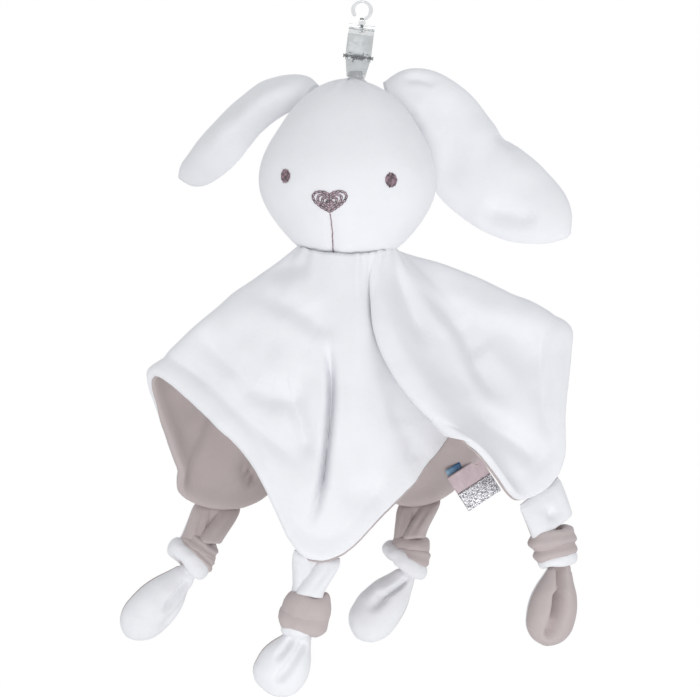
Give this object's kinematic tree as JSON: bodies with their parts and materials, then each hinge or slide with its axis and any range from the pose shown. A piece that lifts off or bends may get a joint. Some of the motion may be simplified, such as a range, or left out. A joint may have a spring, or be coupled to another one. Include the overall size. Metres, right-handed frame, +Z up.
{
  "type": "rabbit comfort blanket",
  "caption": "soft rabbit comfort blanket: stuffed head with floppy ears on a square two-layer cloth whose corners are knotted legs, hanging from a small clear swivel clip",
  "frame": {"origin": "on the inside of the hook ring at its crown, where a peg or rail carries the toy", "axes": "+Z up; the face looks along -Y; +X is to the right of a viewer who faces the toy"},
  "size_m": [0.2439, 0.1586, 0.3558],
  "materials": {
    "white": "short white velour pile",
    "taupe": "short taupe velour pile",
    "stuffing": "white fibre filling",
    "clear": "clear moulded plastic",
    "steel": "drawn steel",
    "thread": "mauve-brown satin and chain stitches",
    "satin": "pink-grey satin ribbon",
    "silver": "silver glitter weave",
    "blue": "glossy blue printed tape, left bare"
  },
  "bodies": {
    "hook": {"hanging_hook": "clear"},
    "clip": {"clip_back_lever": "clear", "clip_pin": "steel", "clip_spring": "steel"},
    "clip_front": {"clip_front_lever": "clear"},
    "head": {"head_cover": "white", "head_stuffing": "stuffing", "eye_left": "thread", "eye_right": "thread", "nose": "thread", "mouth_stitch": "thread", "crown_tuft": "white"},
    "ear_left": {"ear_left": "white"},
    "ear_right": {"ear_right": "white"},
    "blanket": {"blanket_top": "white", "blanket_lining": "taupe", "neck_gather": "white"},
    "tag": {"ribbon_tag": "satin", "silver_band": "silver", "care_label": "blue"},
    "leg_1": {"leg_1_strap": "taupe", "leg_1_knot": "taupe"},
    "leg_1_foot": {"leg_1_foot": "white"},
    "leg_2": {"leg_2_strap": "white", "leg_2_knot": "taupe"},
    "leg_2_foot": {"leg_2_foot": "white"},
    "leg_3": {"leg_3_strap": "taupe", "leg_3_knot": "taupe"},
    "leg_3_foot": {"leg_3_foot": "white"},
    "leg_4": {"leg_4_strap": "white", "leg_4_knot": "taupe"},
    "leg_4_foot": {"leg_4_foot": "taupe"}
  },
  "joints": [
    {"name": "hook_swivel", "type": "hinge", "parent": "hook", "child": "clip", "pos_m": [0, 0, -0.012], "axis": [0, 0, 1], "continuous": true},
    {"name": "clip_squeeze", "type": "hinge", "parent": "clip", "child": "clip_front", "pos_m": [-0.00197, 0, -0.02808], "axis": [-0.9925, 0, 0.1219], "range_deg": [0, 15], "stiffness_Nm_per_rad": 0.05, "springref_deg": -11.46},
    {"name": "pull_out", "type": "slide", "parent": "clip", "child": "head", "axis": [0, 0, -1], "range_m": [0, 0.02]},
    {"name": "ear_left_flop", "type": "hinge", "parent": "head", "child": "ear_left", "pos_m": [-0.028, 0.008, -0.0435], "axis": [-0.769, 0, -0.6392], "range_deg": [-12, 12], "stiffness_Nm_per_rad": 0.04},
    {"name": "ear_right_flop", "type": "hinge", "parent": "head", "child": "ear_right", "pos_m": [0.022, 0.011, -0.054], "axis": [0.6283, 0, -0.7779], "range_deg": [-12, 12], "stiffness_Nm_per_rad": 0.04},
    {"name": "neck_twist", "type": "hinge", "parent": "head", "child": "blanket", "pos_m": [-0.00829, 0, -0.12931], "axis": [0, 0, 1], "range_deg": [-25, 25], "stiffness_Nm_per_rad": 0.03},
    {"name": "leg_1_swing", "type": "hinge", "parent": "blanket", "child": "leg_1", "pos_m": [-0.07906, 0.05697, -0.26823], "axis": [0.8833, 0.4575, -0.1023], "range_deg": [-30, 30], "stiffness_Nm_per_rad": 0.015},
    {"name": "leg_1_foot_bend", "type": "hinge", "parent": "leg_1", "child": "leg_1_foot", "pos_m": [-0.09655, 0.05697, -0.30331], "axis": [0.8833, 0.4575, -0.1023], "range_deg": [-15, 15], "stiffness_Nm_per_rad": 0.01},
    {"name": "leg_2_swing", "type": "hinge", "parent": "blanket", "child": "leg_2", "pos_m": [-0.02269, -0.04388, -0.28441], "axis": [0.9752, 0.1194, -0.1864], "range_deg": [-30, 30], "stiffness_Nm_per_rad": 0.015},
    {"name": "leg_2_foot_bend", "type": "hinge", "parent": "leg_2", "child": "leg_2_foot", "pos_m": [-0.03084, -0.04388, -0.32275], "axis": [0.9752, 0.1194, -0.1864], "range_deg": [-15, 15], "stiffness_Nm_per_rad": 0.01},
    {"name": "leg_3_swing", "type": "hinge", "parent": "blanket", "child": "leg_3", "pos_m": [0.03168, 0.0746, -0.26783], "axis": [0.962, -0.2358, 0.1375], "range_deg": [-30, 30], "stiffness_Nm_per_rad": 0.015},
    {"name": "leg_3_foot_bend", "type": "hinge", "parent": "leg_3", "child": "leg_3_foot", "pos_m": [0.0247, 0.0746, -0.3064], "axis": [0.962, -0.2358, 0.1375], "range_deg": [-15, 15], "stiffness_Nm_per_rad": 0.01},
    {"name": "leg_4_swing", "type": "hinge", "parent": "blanket", "child": "leg_4", "pos_m": [0.09254, -0.00972, -0.25532], "axis": [0.765, 0.4146, 0.4929], "range_deg": [-30, 30], "stiffness_Nm_per_rad": 0.015},
    {"name": "leg_4_foot_bend", "type": "hinge", "parent": "leg_4", "child": "leg_4_foot", "pos_m": [0.10187, -0.00972, -0.29338], "axis": [0.765, 0.4146, 0.4929], "range_deg": [-15, 15], "stiffness_Nm_per_rad": 0.01},
    {"name": "tag_flap", "type": "hinge", "parent": "blanket", "child": "tag", "pos_m": [0.06009, 0.0622, -0.24795], "axis": [0.8829, 0, 0.4695], "range_deg": [-40, 40]}
  ]
}
